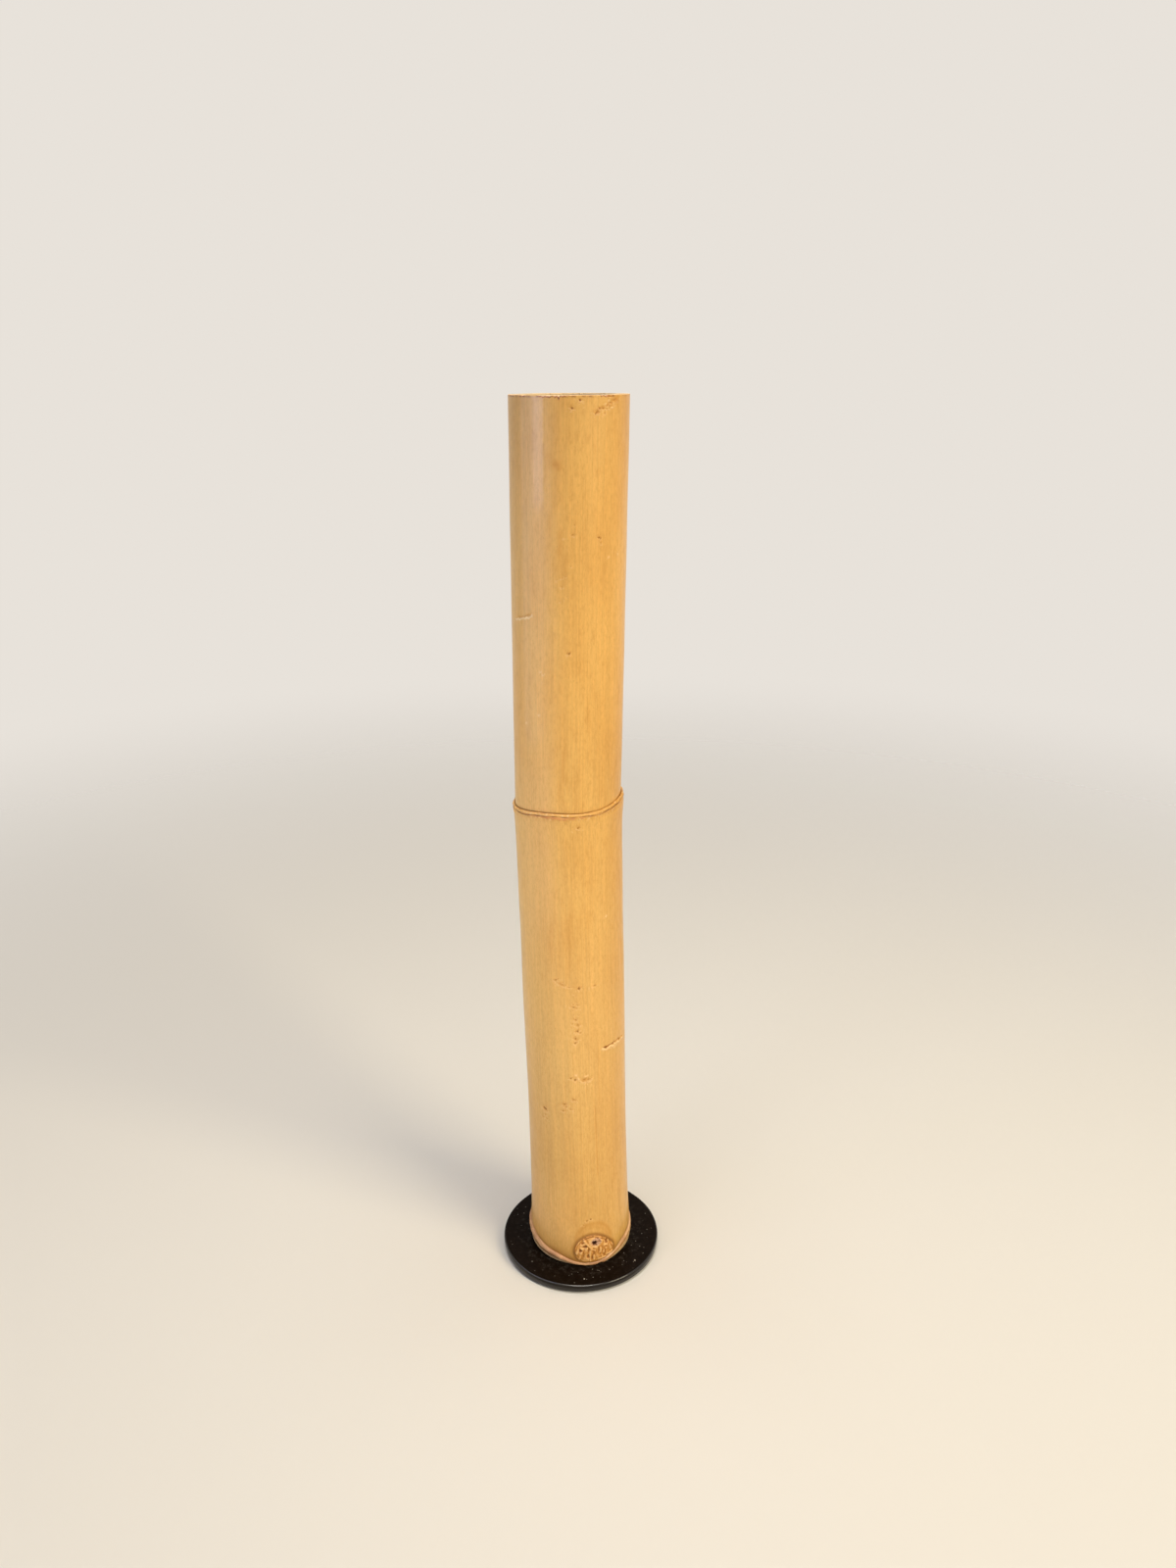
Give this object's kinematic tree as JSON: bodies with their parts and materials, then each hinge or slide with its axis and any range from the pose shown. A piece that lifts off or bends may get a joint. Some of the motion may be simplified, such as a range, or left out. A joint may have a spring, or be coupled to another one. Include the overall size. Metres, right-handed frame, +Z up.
{
  "type": "bamboo vase",
  "caption": "Tall bamboo vase: a natural culm with a mid node and sawn branch scars, standing on a round black steel plate, with a lift-out plastic liner.",
  "frame": {"origin": "on the surface that the vase stands on, at the centre of the round base plate", "axes": "+Z up along the vase, -Y towards the viewer of the picture, +X to that viewer's right"},
  "size_m": [0.125, 0.125, 0.655],
  "materials": {
    "bamboo": "natural satin bamboo skin",
    "liner_plastic": "matte dark green plastic",
    "plug_wood": "plain sawn beech",
    "black_steel": "satin black powder coat on steel",
    "zinc_steel": "bright zinc plate",
    "black_felt": "pressed felt"
  },
  "bodies": {
    "vase": {"bamboo_culm": "bamboo", "foot_plug": "plug_wood", "base_plate": "black_steel", "base_screws": "zinc_steel", "felt_pad": "black_felt"},
    "liner": {"water_liner": "liner_plastic"}
  },
  "joints": [
    {"name": "liner_lift", "type": "slide", "parent": "vase", "child": "liner", "axis": [0.0137, 0, 0.9999], "range_m": [0, 0.27]}
  ]
}
